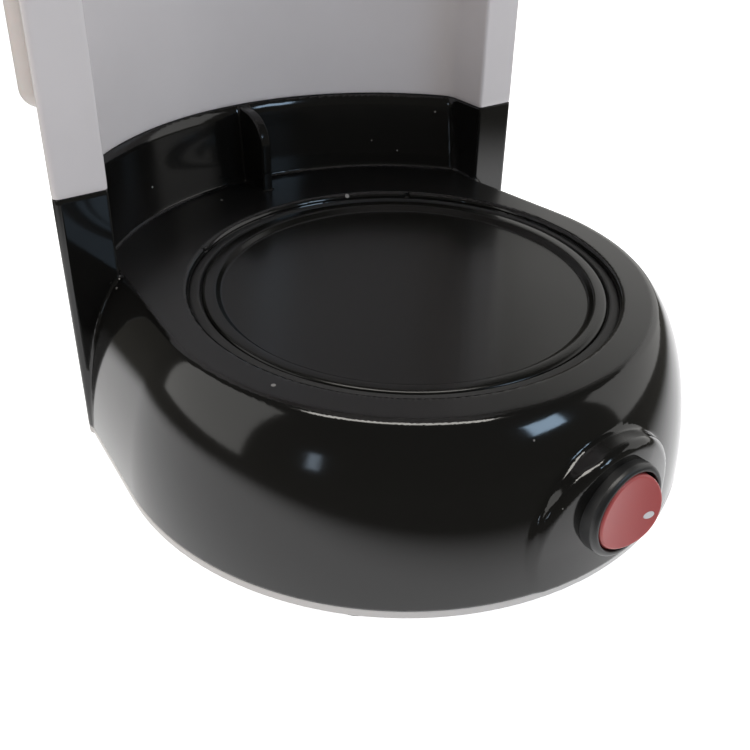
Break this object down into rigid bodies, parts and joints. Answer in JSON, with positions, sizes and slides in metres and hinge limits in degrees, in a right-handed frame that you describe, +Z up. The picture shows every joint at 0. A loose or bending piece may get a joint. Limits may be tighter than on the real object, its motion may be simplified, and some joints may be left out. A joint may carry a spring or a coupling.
{
  "type": "drip coffee maker",
  "caption": "Small drip coffee maker: round base with warming plate and rocker switch, rear tank tower, swing-out filter holder and hinged tank lid.",
  "frame": {"origin": "on the table under the middle of the bounding box", "axes": "+Z up, -Y towards the user (switch side), +X to the user's right"},
  "size_m": [0.1394, 0.1959, 0.249],
  "materials": {
    "black_gloss": "glossy black ABS",
    "ivory": "ivory satin moulding",
    "white": "white ABS, satin gloss",
    "black_coat": "satin black non-stick coat on steel",
    "dark_rubber": "dull black silicone rubber",
    "black_satin": "satin black",
    "red": "translucent red plastic",
    "white_print": "white print",
    "amber": "neon lamp glass",
    "tinned": "tinned brass",
    "cream": "cream translucent plastic",
    "clear": "clear plastic",
    "steel": "bright zinc plated steel",
    "dark_plastic": "dark grey polypropylene",
    "silicone": "milky silicone",
    "aluminium": "cast and drawn aluminium",
    "ceramic": "ceramic and fibre sleeve",
    "wheat": "natural nylon",
    "lead_red": "silicone insulated wire"
  },
  "bodies": {
    "chassis": {"base_housing": "black_gloss", "base_cover": "ivory", "tower_housing": "white", "warming_plate": "black_coat", "plate_gasket": "dark_rubber", "switch_body": "black_satin", "switch_lamp": "amber", "switch_terminals": "tinned", "level_gauge": "cream", "tank": "clear", "head_housing": "white", "pivot_pin": "steel", "spray_head": "dark_plastic", "spout_arm": "white", "riser_tube": "aluminium", "riser_grommet": "silicone", "cold_hose": "silicone", "hot_hose": "silicone", "hose_clamps": "steel", "check_valve": "white", "heater_casting": "aluminium", "element_pins": "tinned", "clamp_bar": "steel", "clamp_nut": "steel", "thermostat": "ceramic", "thermal_fuses": "ceramic", "fuse_clips": "steel", "terminal_block": "wheat", "leads": "lead_red", "cord_gland": "black_satin", "rubber_feet": "dark_rubber", "cover_screws": "steel", "tower_screws": "steel"},
    "lid": {"reservoir_lid": "white", "lid_pin": "steel"},
    "holder": {"filter_holder": "white", "filter_basket": "dark_plastic"},
    "drip_valve": {"valve_stem": "ivory", "valve_seal": "silicone", "valve_spring": "steel"},
    "rocker": {"rocker": "red", "rocker_dot": "white_print"},
    "check_ball": {"check_ball": "steel"}
  },
  "joints": [
    {"name": "lid_hinge", "type": "hinge", "parent": "chassis", "child": "lid", "pos_m": [0, 0.09348, 0.239], "axis": [-1, 0, 0], "range_deg": [0, 100]},
    {"name": "holder_swing", "type": "hinge", "parent": "chassis", "child": "holder", "pos_m": [-0.061, 0.00698, 0.2], "axis": [0, 0, -1], "range_deg": [0, 100]},
    {"name": "drip_stop", "type": "slide", "parent": "holder", "child": "drip_valve", "axis": [0, 0, 1], "range_m": [0, 0.0038], "stiffness_N_per_m": 120, "springref_m": -0.003, "deforming": ["valve_spring"]},
    {"name": "switch_rock", "type": "hinge", "parent": "chassis", "child": "rocker", "pos_m": [0, -0.09308, 0.0199], "axis": [0.4226, 0.0411, 0.9054], "range_deg": [0, 14]},
    {"name": "ball_rise", "type": "slide", "parent": "chassis", "child": "check_ball", "axis": [0, 0, 1], "range_m": [0, 0.0064]}
  ]
}
